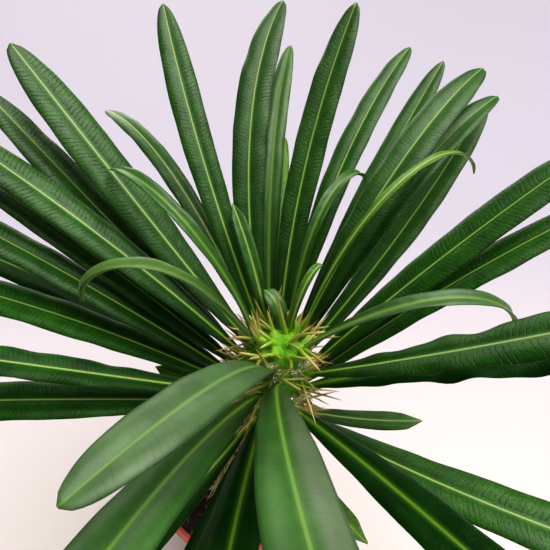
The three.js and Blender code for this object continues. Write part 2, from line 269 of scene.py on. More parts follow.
def half_width(u, width):
    """Half the blade's width at a share of its length."""
    opening = np.minimum(1, u / 0.12) ** 0.6
    swell = (1 - (1 - np.minimum(1, u / WIDEST)) ** 1.9) * opening
    end = np.maximum(0, (u - WIDEST) / (1 - WIDEST))
    tip = np.sqrt(np.maximum(0, 1 - end ** 3))
    return np.maximum(0.5, width / 2 * (PETIOLE_SHARE + (1 - PETIOLE_SHARE) * swell) * tip)


def leaf_heading(leaf, u):
    turn, _, rise, droop, _, _, sway, fold = leaf
    power = DROOP_POWER + FOLDED_DROOP_POWER * fold
    return heading(turn + sway * u, rise - droop * u ** power)


def midrib(leaf, shares, steps=240):
    """Points on the midrib and the blade's along, side and up directions."""
    turn, depth, _, _, length, _, sway, _ = leaf
    middles = (np.arange(steps) + 0.5) / steps
    travel = np.cumsum(leaf_heading(leaf, middles), 0) * length / steps
    path = np.vstack([[0, 0, 0], travel]) + leaf_base(turn, depth)
    grid = np.linspace(0, 1, steps + 1)
    at = np.stack([np.interp(shares, grid, path[:, k]) for k in range(3)], -1)
    along = leaf_heading(leaf, shares)
    side = heading(turn + sway * shares + 90, 0 * shares)
    return at, along, side, np.cross(along, side)


# ---- mesh helpers ----

def put_values(mesh, key, values):
    """Gives a mesh three values at each point, under a name for its material."""
    layer = mesh.attributes.get(key) or mesh.attributes.new(key, "FLOAT_VECTOR", "POINT")
    layer.data.foreach_set("vector", np.asarray(values, dtype=np.float32).ravel())


def make_object(name, points, faces, material, attributes=None, flat=False):
    """A mesh object from points in millimetres, with named values at its points."""
    mesh = bpy.data.meshes.new(name)
    mesh.from_pydata((np.asarray(points) * MM).tolist(), [], [[int(k) for k in face] for face in faces])
    for key, values in (attributes or {}).items():
        put_values(mesh, key, values)
    mesh.polygons.foreach_set("use_smooth", [not flat] * len(mesh.polygons))
    mesh.materials.append(material)
    piece = bpy.data.objects.new(name, mesh)
    bpy.context.scene.collection.objects.link(piece)
    return piece


def apply_modifiers(piece):
    """Replaces a piece's mesh by what its modifiers make of it."""
    graph = bpy.context.evaluated_depsgraph_get()
    mesh = bpy.data.meshes.new_from_object(piece.evaluated_get(graph))
    piece.modifiers.clear()
    piece.data = mesh
    return mesh


def ring_faces(count, sides):
    """Faces of a skin through rings of points, closed at both ends."""
    faces = []
    for i in range(count - 1):
        for j in range(sides):
            a = i * sides + j
            b = i * sides + (j + 1) % sides
            faces.append((a, b, b + sides, a + sides))
    faces.append(tuple(range(sides))[::-1])
    faces.append(tuple((count - 1) * sides + j for j in range(sides)))
    return faces


def tube(centres, directions, radii, sides):
    """Points and faces of a closed tube through rings square to its path."""
    centres = np.asarray(centres, float)
    directions = np.asarray(directions, float)
    up = np.where(np.abs(directions[:, 2:3]) > 0.9, [[1.0, 0, 0]], [[0, 0, 1.0]])
    side = np.cross(up, directions)
    side /= np.linalg.norm(side, axis=1, keepdims=True)
    other = np.cross(directions, side)
    angle = 2 * np.pi * np.arange(sides) / sides
    ring = side[:, None] * np.cos(angle)[:, None] + other[:, None] * np.sin(angle)[:, None]
    points = centres[:, None] + ring * np.asarray(radii, float)[:, None, None]
    return points.reshape(-1, 3), ring_faces(len(centres), sides)


class Bundle:
    """Many small solids gathered into one mesh."""

    def __init__(self):
        self.points, self.faces, self.values, self.total = [], [], [], 0

    def add(self, points, faces, values=(0, 0, 0)):
        """Adds one solid, with three values for it or for each of its points."""
        self.points.append(points)
        self.faces.extend([tuple(k + self.total for k in face) for face in faces])
        self.values.append(np.broadcast_to(values, (len(points), 3)))
        self.total += len(points)

    def add_tube(self, shares, centres, way, radii, sides, age, tone):
        """Adds a tapered tube, with its share along, age and tone at each point."""
        values = np.stack(np.broadcast_arrays(np.repeat(shares, sides), age, tone), -1)
        self.add(*tube(centres, np.tile(way, (len(shares), 1)), radii, sides), values)

    def build(self, name, material, key, flat=False):
        values = {key: np.vstack(self.values)}
        return make_object(name, np.vstack(self.points), self.faces, material, values, flat)


# ---- material helpers ----

class Nodes:
    """Short names for the shader nodes of a material, or of the room."""

    def __init__(self, name, kind="materials", shader="Principled BSDF"):
        self.owner = getattr(bpy.data, kind).new(name)
        self.owner.use_nodes = True
        self.tree = self.owner.node_tree
        self.shader = self.tree.nodes[shader]

    def new(self, kind, inputs=None, **settings):
        node = self.tree.nodes.new(kind)
        for key, value in settings.items():
            setattr(node, key, value)
        for key, value in (inputs or {}).items():
            self.put(value, node.inputs[key])
        return node

    def put(self, value, socket):
        if isinstance(value, bpy.types.NodeSocket):
            self.tree.links.new(value, socket)
        elif isinstance(value, tuple) and len(value) == 3 and socket.type == "RGBA":
            socket.default_value = (*value, 1)
        else:
            socket.default_value = value

    def math(self, operation, a, b=0.0, c=0.0):
        return self.new("ShaderNodeMath", {0: a, 1: b, 2: c}, operation=operation).outputs[0]

    def ease(self, value, low, high, start=0.0, end=1.0):
        ranges = {"Value": value, "From Min": low, "From Max": high, "To Min": start, "To Max": end}
        return self.new("ShaderNodeMapRange", ranges, interpolation_type="SMOOTHSTEP").outputs[0]

    def mix(self, share, a, b):
        node = self.new("ShaderNodeMix", data_type="RGBA")
        self.put(share, node.inputs[0])
        self.put(a, node.inputs[6])
        self.put(b, node.inputs[7])
        return node.outputs[2]

    def parts(self, name):
        """The three values of a point attribute."""
        vector = self.new("ShaderNodeAttribute", attribute_name=name).outputs["Vector"]
        return self.new("ShaderNodeSeparateXYZ", {0: vector}).outputs

    def join(self, x, y, z):
        return self.new("ShaderNodeCombineXYZ", {0: x, 1: y, 2: z}).outputs[0]

    def place(self):
        return self.new("ShaderNodeTexCoord").outputs["Object"]

    def noise(self, vector, scale, detail=2.0, roughness=0.5):
        inputs = {"Vector": vector, "Scale": scale, "Detail": detail, "Roughness": roughness}
        return self.new("ShaderNodeTexNoise", inputs).outputs[0]

    def cells(self, vector, scale, feature="F1"):
        return self.new("ShaderNodeTexVoronoi", {"Vector": vector, "Scale": scale}, feature=feature).outputs

    def bump(self, height, distance, strength):
        inputs = {"Height": height, "Distance": distance, "Strength": strength}
        self.put(self.new("ShaderNodeBump", inputs).outputs[0], self.shader.inputs["Normal"])

    def finish(self, color, roughness, **constants):
        self.put(color, self.shader.inputs["Base Color"])
        self.put(roughness, self.shader.inputs["Roughness"])
        for key, value in constants.items():
            self.shader.inputs[key.replace("_", " ")].default_value = value
        return self.owner


# ---- materials ----

# Leaf skin by tone, each from its dark to its light blotches. The milky colour is a painted sheen.
# The darkest skin also serves as painted shade for the leaves of lowest tone.
SKIN_DARK = (0.001, 0.024, 0.00), (0.005, 0.054, 0.001)
SKIN_MIDDLE = (0.012, 0.105, 0.001), (0.032, 0.175, 0.003)
SKIN_LIGHT = (0.14, 0.32, 0.008), (0.19, 0.41, 0.016)
SKIN_PAINTED_SHEEN = (0.105, 0.158, 0.088), (0.14, 0.205, 0.118)
SKIN_BENEATH = (0.048, 0.16, 0.012), (0.088, 0.24, 0.026)

# Marks on the skin. The vein and net colours are painted shade in their sunk grooves.
VEIN_GROOVE_SHADE = (0.002, 0.018, 0.001)
NET_GROOVE_SHADE = (0.003, 0.024, 0.001)
GRAIN_COLOR = (0.003, 0.03, 0.001)
MARGIN_COLOR = (0.004, 0.03, 0.002)
SHADE_COLOR = (0.002, 0.026, 0.001)
FOOT_COLOR = (0.22, 0.48, 0.014)

# The midrib: its soft border, from its young to its full colour, then in painted
# shade, in deep painted shade, and under thin and thick painted sheen.
RIB_BORDER = (0.08, 0.23, 0.016)
RIB_COLORS = (0.20, 0.44, 0.014), (0.38, 0.52, 0.165)
RIB_SHADED = (0.13, 0.255, 0.02)
RIB_DARK = (0.012, 0.05, 0.004)
RIB_THIN_PAINTED_SHEEN = (0.165, 0.30, 0.055)
RIB_THICK_PAINTED_SHEEN = (0.175, 0.285, 0.11)

VEIN_SPACING = 2.3
VEIN_DRIFT = 2.0
SKIN_RELIEF = 0.00018


def leaf_material(name, shine):
    """Leaf skin: pale midrib, sunk side veins, green petiole.

    leaf_place holds millimetres along and across, and the share of painted sheen.
    leaf_kind holds the share along, a tone for the leaf that at its lowest paints
    shade, and the share across, to which 2 is added underneath.
    """
    n = Nodes(name)
    along, across, painted_sheen = n.parts("leaf_place")
    share, tone, side = n.parts("leaf_kind")
    under = n.math("GREATER_THAN", side, 1.5)
    margin = n.math("SUBTRACT", side, n.math("MULTIPLY", under, 2.0))
    out = n.math("ABSOLUTE", across)
    spot = n.join(along, across, n.math("MULTIPLY", tone, 90.0))

    # Side veins lean to the tip as they near the margin, with a fine net between them.
    warp = n.math("SUBTRACT", n.noise(spot, 0.32, 2.0), 0.5)
    bend = n.math("MULTIPLY", n.math("POWER", out, 1.3), 0.17)
    phase = n.math("MULTIPLY_ADD", warp, VEIN_DRIFT, n.math("SUBTRACT", along, bend))
    phase = n.math("MULTIPLY_ADD", n.math("SIGN", across), 0.7, phase)
    wave = n.math("SINE", n.math("MULTIPLY", phase, 2 * math.pi / VEIN_SPACING))
    vein = n.ease(wave, 0.66, 1.0)
    patchy = n.ease(n.noise(spot, 0.15, 3.0), 0.36, 0.62, 0.2, 1.0)
    off_rib = n.ease(out, 1.0, 2.2)
    vein = n.math("MULTIPLY", n.math("MULTIPLY", vein, patchy), off_rib)
    stretched = n.join(along, n.math("MULTIPLY", across, 0.55), tone)
    net = n.ease(n.cells(stretched, 1.0, "DISTANCE_TO_EDGE")[0], 0.0, 0.14, 1.0, 0.0)
    net = n.math("MULTIPLY", net, off_rib)

    # Leaves with painted sheen, the darkest ones and all undersides are smooth. The rest show veins.
    veined = n.math("MULTIPLY", n.ease(painted_sheen, 0.27, 0.23), n.ease(tone, 0.02, 0.30, 0.25, 1.0))
    veined = n.math("MULTIPLY", veined, n.math("MULTIPLY_ADD", under, -0.9, 1.0))
    vein = n.math("MULTIPLY", vein, n.math("MULTIPLY_ADD", veined, 0.85, 0.15))
    net = n.math("MULTIPLY", net, veined)

    mottled = n.ease(n.noise(spot, 0.06, 4.0, 0.6), 0.3, 0.7)
    skin = n.mix(n.ease(tone, 0.0, 0.5), n.mix(mottled, *SKIN_DARK), n.mix(mottled, *SKIN_MIDDLE))
    skin = n.mix(n.ease(tone, 0.5, 1.0), skin, n.mix(mottled, *SKIN_LIGHT))
    # Painted sheen: milky grey mixed over the blade.
    skin = n.mix(painted_sheen, skin, n.mix(mottled, *SKIN_PAINTED_SHEEN))
    # Painted shade darkens the sunk veins and the fine net between them.
    skin = n.mix(n.math("MULTIPLY", vein, 0.62), skin, VEIN_GROOVE_SHADE)
    skin = n.mix(n.math("MULTIPLY", net, 0.26), skin, NET_GROOVE_SHADE)
    grain = n.math("MULTIPLY", n.ease(n.noise(spot, 1.0, 3.0, 0.7), 0.46, 0.64), veined)
    skin = n.mix(n.math("MULTIPLY", grain, 0.40), skin, GRAIN_COLOR)
    skin = n.mix(n.ease(margin, 0.86, 0.98, 0.0, 0.5), skin, MARGIN_COLOR)
    skin = n.mix(n.math("MULTIPLY", under, 0.85), skin, n.mix(mottled, *SKIN_BENEATH))
    skin = n.mix(n.ease(share, 0.60, 0.08, 0.0, 0.66), skin, SHADE_COLOR)
    skin = n.mix(n.ease(share, 0.065, 0.015), skin, FOOT_COLOR)

    # The midrib narrows towards the tip and has a soft lighter border.
    rib_half = n.math("MULTIPLY_ADD", share, -0.46, 0.68)
    special = n.math("MAXIMUM", n.ease(painted_sheen, 0.1, 0.4), n.ease(tone, 0.25, 0.08))
    rib_half = n.math("MULTIPLY", rib_half, n.math("MULTIPLY_ADD", special, 0.6, 1.0))
    ratio = n.math("DIVIDE", out, rib_half)
    skin = n.mix(n.ease(ratio, 3.4, 1.0, 0.0, 0.32), skin, RIB_BORDER)
    rib_color = n.mix(n.ease(share, 0.05, 0.35), *RIB_COLORS)
    rib_color = n.mix(n.ease(tone, 0.25, 0.05), rib_color, RIB_SHADED)
    rib_color = n.mix(n.ease(tone, 0.0, -0.1), rib_color, RIB_DARK)
    # Painted sheen on the midrib, thin and thick.
    rib_color = n.mix(n.ease(painted_sheen, 0.24, 0.27), rib_color, RIB_THIN_PAINTED_SHEEN)
    rib_color = n.mix(n.ease(painted_sheen, 0.45, 0.65), rib_color, RIB_THICK_PAINTED_SHEEN)
    rib = n.ease(ratio, n.math("MULTIPLY_ADD", painted_sheen, 1.1, 1.10), n.math("MULTIPLY_ADD", painted_sheen, -0.9, 0.66))
    skin = n.mix(rib, skin, rib_color)

    gloss = n.math("MULTIPLY_ADD", n.noise(spot, 0.4, 3.0), 0.12, 0.32)
    gloss = n.math("MULTIPLY_ADD", under, 0.14, gloss)
    height = n.math("MULTIPLY_ADD", net, -0.25, n.math("MULTIPLY", vein, -0.8))
    height = n.math("MULTIPLY_ADD", n.noise(spot, 1.4, 2.0), 0.15, height)
    height = n.math("MULTIPLY", height, n.math("MULTIPLY_ADD", under, -0.8, 1.0))
    n.bump(height, SKIN_RELIEF, 0.9)
    return n.finish(skin, gloss, Specular_IOR_Level=shine)


def stem_material():
    """Stem skin. stem_place holds reach from the core and age."""
    n = Nodes("stem_skin")
    reach, age, _ = n.parts("stem_place")
    place = n.place()
    patches = n.noise(place, 90.0, 4.0, 0.6)
    young = n.mix(n.ease(patches, 0.3, 0.7), (0.05, 0.24, 0.005), (0.16, 0.45, 0.012))
    young = n.mix(n.ease(reach, 0.0, 0.85, 0.0, 0.96), young, (0.27, 0.50, 0.03))
    old = n.mix(n.ease(patches, 0.35, 0.65), (0.022, 0.02, 0.01), (0.11, 0.082, 0.05))
    old = n.mix(n.ease(reach, 0.2, 0.9, 0.0, 0.6), old, (0.17, 0.15, 0.10))
    skin = n.mix(n.ease(n.math("MULTIPLY_ADD", patches, 0.4, age), 0.35, 0.95), young, old)
    specks = n.cells(place, 900.0)[0]
    skin = n.mix(n.ease(specks, 0.30, 0.12, 0.0, 0.25), skin, (0.36, 0.42, 0.16))
    rough = n.math("MULTIPLY_ADD", age, 0.3, 0.42)
    relief = n.math("MULTIPLY_ADD", n.noise(place, 700.0, 4.0), 0.6, n.math("MULTIPLY", patches, 0.6))
    n.bump(relief, 0.0006, 0.7)
    return n.finish(skin, rough, Subsurface_Weight=0.15, Subsurface_Scale=0.003, Specular_IOR_Level=0.35)


def spine_material():
    """Spines, green at their roots when young. spine_place holds share along, age and a tone."""
    n = Nodes("spine_horn")
    share, age, tone = n.parts("spine_place")
    place = n.place()
    body = n.mix(tone, (0.42, 0.33, 0.085), (0.80, 0.68, 0.28))
    root = n.mix(age, (0.24, 0.48, 0.016), (0.42, 0.34, 0.11))
    green = n.math("MULTIPLY_ADD", age, -0.32, 0.40)
    color = n.mix(n.ease(n.math("DIVIDE", share, green), 0.2, 1.3), root, body)
    color = n.mix(n.ease(share, 0.84, 1.0, 0.0, 0.7), color, (0.22, 0.10, 0.035))
    worn = n.mix(tone, (0.23, 0.15, 0.065), (0.46, 0.34, 0.17))
    color = n.mix(n.math("MULTIPLY", n.ease(age, 0.0, 1.0), 0.5), color, worn)
    streak = n.noise(place, 1300.0, 3.0)
    color = n.mix(n.ease(streak, 0.45, 0.75, 0.0, 0.22), color, (0.23, 0.13, 0.05))
    n.bump(streak, 0.0002, 0.6)
    return n.finish(color, 0.42)


def felt_material():
    """White wool, greyer on the old stem. felt_place holds share along, age and a tone."""
    n = Nodes("felt_wool")
    share, age, tone = n.parts("felt_place")
    color = n.mix(tone, (0.76, 0.75, 0.69), (0.95, 0.94, 0.91))
    color = n.mix(n.math("MULTIPLY", age, 0.35), color, (0.42, 0.35, 0.30))
    color = n.mix(n.ease(share, 0.0, 1.0, 0.25, 0.0), color, (0.42, 0.44, 0.30))
    return n.finish(color, 0.85)


def scrap_material():
    """Dry flakes, from pinkish brown to grey white. scrap_place holds a tone."""
    n = Nodes("dry_scrap")
    tone, _, _ = n.parts("scrap_place")
    place = n.place()
    color = n.mix(n.ease(tone, 0.2, 0.9), (0.20, 0.10, 0.062), (0.56, 0.50, 0.45))
    fibres = n.noise(place, 1100.0, 4.0)
    color = n.mix(n.ease(fibres, 0.4, 0.7, 0.0, 0.6), color, (0.12, 0.06, 0.038))
    n.bump(fibres, 0.0004, 0.8)
    return n.finish(color, 0.7)


def pot_material():
    """Terracotta-coloured plastic, lightly scuffed and dusty."""
    n = Nodes("pot_plastic")
    place = n.place()
    clouds = n.noise(place, 18.0, 4.0, 0.6)
    color = n.mix(n.ease(clouds, 0.3, 0.7), (0.64, 0.12, 0.095), (0.78, 0.175, 0.145))
    stretched = n.new("ShaderNodeMapping", {"Vector": place, "Scale": (1.0, 1.0, 0.06)}).outputs[0]
    streaks = n.noise(stretched, 160.0, 4.0)
    color = n.mix(n.ease(streaks, 0.55, 0.80, 0.0, 0.35), color, (0.82, 0.33, 0.27))
    dust = n.ease(n.noise(place, 55.0, 5.0, 0.7), 0.56, 0.72, 0.0, 0.30)
    color = n.mix(dust, color, (0.54, 0.33, 0.26))
    rough = n.math("MULTIPLY_ADD", clouds, 0.25, 0.32)
    n.bump(n.noise(place, 900.0, 3.0), 0.00015, 0.5)
    return n.finish(color, rough)


def soil_material():
    """Peaty soil, almost black with rusty crumbs."""
    n = Nodes("soil_peat")
    place = n.place()
    coarse = n.noise(place, 240.0, 5.0, 0.7)
    color = n.mix(n.ease(coarse, 0.35, 0.65), (0.004, 0.003, 0.003), (0.026, 0.013, 0.009))
    rust = n.cells(place, 420.0)
    color = n.mix(n.ease(rust[0], 0.26, 0.10, 0.0, 0.8), color, (0.12, 0.03, 0.024))
    relief = n.math("MULTIPLY_ADD", n.noise(place, 700.0, 4.0), 0.5, coarse)
    n.bump(relief, 0.003, 1.0)
    return n.finish(color, 0.9)


def crumb_material():
    """Loose grains. crumb_place holds kind and tone."""
    n = Nodes("soil_crumbs")
    kind, tone, _ = n.parts("crumb_place")
    place = n.place()
    peat = n.mix(tone, (0.005, 0.004, 0.004), (0.036, 0.017, 0.012))
    rusty = n.mix(tone, (0.11, 0.026, 0.022), (0.28, 0.08, 0.07))
    pale = n.mix(tone, (0.42, 0.25, 0.23), (0.62, 0.48, 0.44))
    color = n.mix(n.ease(kind, 0.78, 0.81), peat, rusty)
    color = n.mix(n.ease(kind, 0.975, 0.98), color, pale)
    grain = n.noise(place, 1500.0, 3.0)
    color = n.mix(n.ease(grain, 0.3, 0.8, 0.0, 0.5), color, (0.03, 0.017, 0.012))
    n.bump(grain, 0.0004, 0.7)
    return n.finish(color, 0.85)


def floor_material():
    """A pale floor, faintly pink near the pot and lilac far behind it, where it is darker: painted fall-off
    of the light.
    """
    n = Nodes("floor_paper")
    _, along, _ = n.new("ShaderNodeSeparateXYZ", {0: n.place()}).outputs
    color = n.mix(n.ease(along, -0.1, 0.6), (0.80, 0.725, 0.79), (0.575, 0.53, 0.70))
    return n.finish(color, 0.7)


# ---- leaves ----

RIB_SHARES = (0.02, 0.06, 0.11, 0.18)
BLADE_SHARES = (0.28, 0.38, 0.48, 0.58, 0.68, 0.78, 0.87, 0.94, 0.98, 1.0)

# Ripples along a margin, each with its height, its length over a full turn and
# how far the right half is ahead: the swell of the outline and the waves.
SWELLS = ((0.018, 13, 2.1), (0.012, 5.3, 1.3))
WAVES = ((1, 5.6, 2.4), (0.5, 3.1, 0.9))

# Fine puckers between the veins, and the grooves beside the midrib
PUCKER_HEIGHT = 0.10
PUCKER_LENGTH = 1.15
GROOVE_DEPTH = 0.14
GROOVE_OUT = 1.5
GROOVE_WIDTH = 0.8

# How far the midrib stands proud above and below, and the flare of its foot
RIB_ABOVE = 0.32
RIB_BELOW = 0.35
FLARE = 1.3
FLARE_LENGTH = 2.4


def ripple(start, rows, reach, right, phases):
    for (height, length, ahead), phase in zip(rows, phases):
        start = start + height * np.sin(reach / length + phase + ahead * right)
    return start


def blade_surfaces(number, leaf, shares, across, phases):
    """Upper and lower points of a blade, and how far each is across.

    The halves are arched and swell unevenly, the margins wave, and the midrib
    stands proud on both sides.
    """
    _, _, _, _, length, width, _, fold = leaf
    at, _, side, up = midrib(leaf, shares)
    u = shares[:, None]
    reach = u * length
    half = half_width(u, width)
    if length < SHORT_LEAF:
        straight = half_width(TAPER_FROM, width) * (1 - u) / (1 - TAPER_FROM)
        half = np.minimum(half, 0.35 + straight * 1.1)

    right = np.where(across < 0, 0, 1)[None]
    swell = ripple(1, SWELLS, reach, right, phases)
    wave = ripple(0, WAVES, reach, right, phases[2:])
    grip = smooth(0.12, 0.4, u) * (1 - smooth(0.92, 1, u))
    edge = np.abs(across)[None]
    lift = WAVED.get(number, MARGIN_WAVE) * wave * edge ** 3 * grip
    pucker = PUCKER_HEIGHT * np.sin(reach / PUCKER_LENGTH + phases[4] + 3.0 * edge)
    pucker = pucker * edge * (1 - edge) * 4 * grip

    span = half * across[None] * np.where(grip > 0, swell, 1)
    camber = half * ((CHANNEL_RISE + fold) * edge - CHANNEL_FALL * edge ** 3)
    beside_rib = np.exp(-((np.abs(span) - GROOVE_OUT) / GROOVE_WIDTH) ** 2)
    camber = camber - GROOVE_DEPTH * beside_rib * (smooth(0.08, 0.2, u) * (1 - u ** 4))
    near_rib = np.exp(-(span / (0.95 - 0.66 * u)) ** 2 * 1.4)
    flare = FLARE * np.exp(-reach / FLARE_LENGTH)
    top = camber + lift + pucker + RIB_ABOVE * near_rib * (1 - 0.6 * u)
    rib_depth = RIB_THICKNESS * (1 - u) ** 1.4 * (1 - edge) ** 2
    thick = BLADE_THICKNESS * (1 - 0.55 * edge ** 4) + rib_depth + RIB_BELOW * near_rib
    bottom = camber + lift + pucker - thick - flare * (1 - edge ** 2) * 0.5
    span = span + np.sign(across)[None] * edge * flare * 0.5

    sheet = at[:, None] + side[:, None] * span[..., None]
    return sheet + up[:, None] * top[..., None], sheet + up[:, None] * bottom[..., None], span


def closed_sheets(rows, columns):
    """Faces of two facing sheets of points, closed along their four edges."""
    count = rows * columns
    grid = np.arange(count).reshape(rows, columns)
    a, b = grid[:-1, :-1].ravel(), grid[1:, :-1].ravel()
    c, d = grid[1:, 1:].ravel(), grid[:-1, 1:].ravel()
    faces = np.vstack([np.stack([a, b, c, d], 1), count + np.stack([a, d, c, b], 1)]).tolist()
    edges = ((grid[:, 0], True), (grid[:, -1], False), (grid[0], False), (grid[-1], True))
    for line, turn_over in edges:
        for start, end in zip(line[:-1], line[1:]):
            quad = [start, end, count + end, count + start]
            faces.append(quad[::-1] if turn_over else quad)
    return faces


def make_leaf(number, leaf, material, random):
    """One leaf: a closed blade, with the values that its skin's colours need."""
    length = leaf[4]
    rows = 76 if length >= SHORT_LEAF else 44
    shares = np.linspace(0, 1, rows + 1) ** 1.05
    outward = np.array(RIB_SHARES + BLADE_SHARES)
    across = np.concatenate([-outward[::-1], [0], outward])
    phases = random.uniform(0, 2 * np.pi, 8)
    upper, lower, span = blade_surfaces(number, leaf, shares, across, phases)

    tone = TONES_AND_SHADE.get(number, random.uniform(*TONE_RANGE))
    # Painted sheen: over the whole blade, its right half, and the tips round the crown.
    painted_sheen = PAINTED_SHEEN.get(number, 0) + RIGHT_PAINTED_SHEEN.get(number, 0) * smooth(0.1, 0.6, across)[None]
    if number in TIP_PAINTED_SHEEN_LEAVES:
        painted_sheen = painted_sheen + TIP_PAINTED_SHEEN * smooth(0.3, 0.95, shares)[:, None]
    along = shares[:, None]
    place = np.stack(np.broadcast_arrays(along * length, span, np.minimum(painted_sheen, 1)), -1)
    kind = np.stack(np.broadcast_arrays(along, tone, np.abs(across)[None]), -1)
    attributes = {"leaf_place": np.stack([place, place]), "leaf_kind": np.stack([kind, kind + [0, 0, 2]])}
    points = np.stack([upper, lower]).reshape(-1, 3)
    name = f"leaf_{number:02d}"
    piece = make_object(f"{name}_blade", points, closed_sheets(*span.shape), material, attributes)
    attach(piece, "root")
    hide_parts(name)


# ---- stem, tubercles and spines ----

class LeafClearance:
    """Tells whether a straight spine would come too near any leaf."""

    def __init__(self):
        shares = np.arange(CLEARANCE_STEPS + 1) / CLEARANCE_STEPS
        rows = [midrib(leaf, shares, steps=60) for leaf in LEAVES]
        self.at, self.along, self.side, self.up = (np.concatenate([r[k] for r in rows]) for k in range(4))
        self.half = np.concatenate([half_width(shares, leaf[5]) for leaf in LEAVES])
        self.reach = np.repeat([leaf[4] / CLEARANCE_STEPS * 0.75 for leaf in LEAVES], len(shares))
        self.fold = np.repeat([float(leaf[7]) for leaf in LEAVES], len(shares))

    def touches(self, root, direction, length, slack=1.0):
        steps = np.arange(1, 9)[:, None] / 8
        offset = (root + direction * length * steps)[:, None] - self.at
        near = np.abs((offset * self.along).sum(-1)) < self.reach
        beside = np.abs((offset * self.side).sum(-1)) < self.half + CLEAR_BESIDE * slack
        level = (offset * self.up).sum(-1)
        over = (level > -CLEAR_UNDER * slack) & (level < self.half * (0.2 + self.fold) + CLEAR_OVER * slack)
        return bool((near & beside & over).any())


def make_random(seed):
    """The run of numbers from 0 to 1 that the part draws its spines from."""
    state = seed
    while True:
        state = (state * 16807) % 2147483647
        yield state / 2147483647


def clear_way(root, turn, rise, length, clearance, slack=1.0):
    """A spine turned, and shortened if need be, until it is clear of all leaves."""
    for cut in SPINE_CUTS:
        for shift in SPINE_SHIFTS:
            for tilt in SPINE_TILTS:
                direction = heading(turn + shift, rise + tilt)
                if not clearance.touches(root, direction, length * cut, slack):
                    return root, direction, length * cut
    return None


def spine_trio(root, turn, lean, numbers, clearance):
    """Two long spines spread apart and a shorter one that points down between them."""
    spines = []
    for spread in SPINE_SPREADS:
        full = SPINE_SHORT + (SPINE_LONG - SPINE_SHORT) * next(numbers)
        aside = turn + spread + 16 * (next(numbers) - 0.5)
        middle = spread == 0
        rise = lean + 14 * (next(numbers) - 0.5) - (MIDDLE_DROP if middle else 0)
        spine = clear_way(root, aside, rise, full * MIDDLE_SHARE if middle else full, clearance)
        if spine:
            spines.append(spine)
    return spines


def tubercles():
    """Turn, depth, direction, lean, tip radius and age of every tubercle."""
    rows = []
    for turn, depth, rise, *_ in LEAVES:
        age = smooth(38, 75, depth)
        rows.append((turn, depth, heading(turn, rise), min(rise, 60) - 26, TUBERCLE_TIP, age))
    for k in range(OLD_TUBERCLES):
        z = OLD_TOP + (OLD_BOTTOM - OLD_TOP) * k / (OLD_TUBERCLES - 1)
        turn = (k * GOLDEN_ANGLE + 20) % 360
        rows.append((turn, STEM_TOP - z, heading(turn, 10), 0, TUBERCLE_TIP * OLD_TIP_SHARE, 1.0))
    return rows


def dome_knobs():
    """Foot and direction of the young tubercles on the growing tip."""
    rows = []
    top = STEM_TOP - DOME_HEIGHT
    for k in range(DOME_KNOBS):
        direction = heading(k * GOLDEN_ANGLE + 200, 80 - 62 * ((k + 0.4) / DOME_KNOBS) ** 0.7)
        foot = stem_axis(top) + direction * [CROWN_RADIUS, CROWN_RADIUS, DOME_HEIGHT]
        rows.append((foot, direction))
    return rows


def make_stem_skin(rows, material):
    """The core and its tubercles, melted together."""
    heights = np.concatenate([
        np.linspace(SOIL_TOP - ROOT_DEPTH, SOIL_SURFACE, 12),
        np.linspace(SOIL_SURFACE + 6, STEM_TOP - DOME_HEIGHT, 40),
        STEM_TOP - DOME_HEIGHT * (1 - np.linspace(0.1, 0.985, 9)),
    ])
    buried = np.maximum(0, (SOIL_TOP - heights) / ROOT_DEPTH)
    radii = stem_radius(heights) + (ROOT_TIP_RADIUS - COLLAR_RADIUS) * buried ** 1.5
    upright = np.tile([0, 0, 1.0], (len(heights), 1))
    skin = Bundle()
    skin.add(*tube(stem_axis(heights), upright, radii, 48))
    for turn, depth, along, _, tip_radius, _ in rows:
        z = STEM_TOP - depth
        root_radius = TUBERCLE_ROOT * (0.65 + 0.35 * min(1, depth / 20))
        inward = stem_axis(z) + heading(turn, 0) * max(0, stem_radius(z) - TUBERCLE_SUNK)
        inward = inward - [0, 0, 2]
        end = leaf_base(turn, depth) - along * GAP
        outward = (end - inward) / np.linalg.norm(end - inward)
        middle = inward + (end - inward) * 0.55
        radii = [root_radius, (root_radius + tip_radius) / 2 + 0.2, tip_radius]
        skin.add(*tube([inward, middle, end], [outward, outward, along], radii, 14))
    for foot, way in dome_knobs():
        centres = [foot - way * 2.5, foot + way * 0.8, foot + way * 2.8, foot + way * KNOB_HEIGHT]
        skin.add(*tube(centres, [way] * 4, [KNOB_RADIUS, KNOB_RADIUS * 0.8, 1.9, 1.1], 14))
    piece = skin.build("stem_skin", material, "stem_place")
    remesh = piece.modifiers.new("melt", "REMESH")
    remesh.mode = "VOXEL"
    remesh.voxel_size = SKIN_VOXEL * MM
    remesh.use_smooth_shade = True
    relax = piece.modifiers.new("relax", "SMOOTH")
    relax.factor = 0.5
    relax.iterations = 5
    mesh = apply_modifiers(piece)

    points = np.empty(len(mesh.vertices) * 3)
    mesh.vertices.foreach_get("co", points)
    points = points.reshape(-1, 3) / MM
    z = points[:, 2]
    out = np.linalg.norm(points[:, :2] - stem_axis(z)[:, :2], axis=1)
    above = np.maximum(0, z - (STEM_TOP - DOME_HEIGHT))
    proud = np.hypot(out / CROWN_RADIUS, above / DOME_HEIGHT) * CROWN_RADIUS - CROWN_RADIUS
    proud = np.where(above > 0, proud, out - stem_radius(z))
    reach = np.clip(proud / 5, 0, 1)
    age = 1 - smooth(STEM_TOP - BARK_FULL, STEM_TOP - BARK_FROM, z)
    put_values(mesh, "stem_place", np.stack([reach, age, 0 * age], -1))
    mesh.polygons.foreach_set("use_smooth", [True] * len(mesh.polygons))
    return piece


